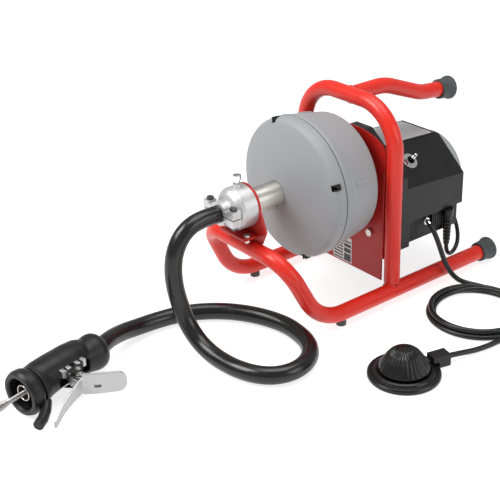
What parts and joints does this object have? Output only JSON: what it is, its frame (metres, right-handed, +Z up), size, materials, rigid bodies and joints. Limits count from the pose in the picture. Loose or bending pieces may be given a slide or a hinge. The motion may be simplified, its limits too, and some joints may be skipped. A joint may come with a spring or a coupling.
{
  "type": "drain snake machine",
  "caption": "Portable drum-type drain cleaning machine on a bent tube frame, with a motor, a guide hose, a squeeze-lever feed gun and an air foot pedal.",
  "frame": {"origin": "on the floor, under the drum's axis, in the plane of the arch's legs", "axes": "+Z up; the nose faces -Y; +X is the side with the switch, the air fitting and the mains cord"},
  "size_m": [0.6122, 1.135, 0.375],
  "materials": {
    "red_paint": "gloss",
    "zinc_steel": "satin",
    "cast_alloy": "satin",
    "polished_alloy": "polished",
    "bright_plate": "polished",
    "grey_plastic": "matte",
    "black_plastic": "matte",
    "pale_panel": "satin",
    "black_rubber": "matte",
    "cable_steel": "oiled",
    "motor_iron": "matte",
    "pin_brass": "satin"
  },
  "bodies": {
    "machine": {"base_tube": "red_paint", "arch_tube": "red_paint", "handle_tube": "red_paint", "motor_plate": "red_paint", "nose_bracket": "red_paint", "frame_bolts": "zinc_steel", "front_feet": "black_rubber", "tube_caps": "black_rubber", "nose_housing": "cast_alloy", "nose_bearing": "zinc_steel", "clamp_upper": "cast_alloy", "clamp_lower": "cast_alloy", "clamp_bolts": "zinc_steel", "clamp_nuts": "zinc_steel", "shaft_bearing": "zinc_steel", "gear_case": "black_plastic", "motor_cover": "black_plastic", "top_panel": "pale_panel", "rear_cover": "black_plastic", "stator": "motor_iron", "motor_bearings": "zinc_steel", "switch_body": "black_plastic", "switch_ring": "bright_plate", "air_switch": "black_plastic", "air_fitting": "bright_plate", "strain_relief": "black_rubber", "pedal_base": "black_plastic", "pedal_spout": "black_plastic", "pedal_spring": "zinc_steel", "gun_body": "black_plastic", "gun_sleeve": "cable_steel", "gun_guard": "black_plastic", "lever_pin": "zinc_steel", "lever_spring": "zinc_steel", "guide_hose": "black_rubber", "air_hose": "black_rubber", "air_coil": "black_rubber", "air_tail": "black_rubber", "power_cord": "black_rubber", "power_coil": "black_rubber", "power_tail": "black_rubber", "plug_body": "black_plastic", "plug_pins": "pin_brass"},
    "drum": {"drum_front": "grey_plastic", "drum_rear": "grey_plastic", "drum_clips": "black_plastic", "hub_tube": "zinc_steel", "drum_shaft": "zinc_steel", "cable_coil": "cable_steel", "cable_lead": "cable_steel", "drum_gear": "black_plastic"},
    "motor_rotor": {"rotor": "motor_iron", "motor_shaft": "zinc_steel", "cooling_fan": "black_plastic"},
    "thumb_screw": {"thumb_screw": "bright_plate"},
    "toggle": {"toggle": "bright_plate"},
    "lever": {"gun_lever": "polished_alloy"},
    "pedal_pad": {"pedal_dome": "black_rubber"},
    "cable_feed": {"cable_core": "cable_steel"},
    "cable_end": {"cable_tip": "cable_steel"}
  },
  "joints": [
    {"name": "drum_spin", "type": "hinge", "parent": "machine", "child": "drum", "pos_m": [0, -0.1, 0.221], "axis": [0, -1, 0], "continuous": true},
    {"name": "rotor_spin", "type": "hinge", "parent": "machine", "child": "motor_rotor", "pos_m": [0, 0.1, 0.173], "axis": [0, -1, 0], "continuous": true},
    {"name": "thumb_screw_turn", "type": "hinge", "parent": "machine", "child": "thumb_screw", "pos_m": [0, -0.248, 0.26], "axis": [0, 0, 1], "range_deg": [0, 720]},
    {"name": "switch_throw", "type": "hinge", "parent": "machine", "child": "toggle", "pos_m": [0.0745, 0.08118, 0.23502], "axis": [0, 0.9984, -0.0558], "range_deg": [-18, 18]},
    {"name": "lever_squeeze", "type": "hinge", "parent": "machine", "child": "lever", "pos_m": [0.02082, -0.5878, 0.0377], "axis": [0, 0, 1], "range_deg": [0, 25], "stiffness_Nm_per_rad": 1.2, "springref_deg": -5.73},
    {"name": "pedal_press", "type": "slide", "parent": "machine", "child": "pedal_pad", "axis": [0, 0, -1], "range_m": [0, 0.012], "stiffness_N_per_m": 600, "springref_m": -0.01, "deforming": ["pedal_spring"]},
    {"name": "cable_slide", "type": "slide", "parent": "machine", "child": "cable_feed", "axis": [0.225, -0.9744, 0], "range_m": [0, 0.12]},
    {"name": "cable_spin", "type": "hinge", "parent": "cable_feed", "child": "cable_end", "pos_m": [-0.0126, -0.61194, 0.0377], "axis": [0.225, -0.9744, 0], "continuous": true}
  ],
  "couplings": [
    {"joint": "rotor_spin", "follows": "drum_spin", "ratio": -7},
    {"joint": "cable_spin", "follows": "drum_spin", "ratio": 1}
  ]
}
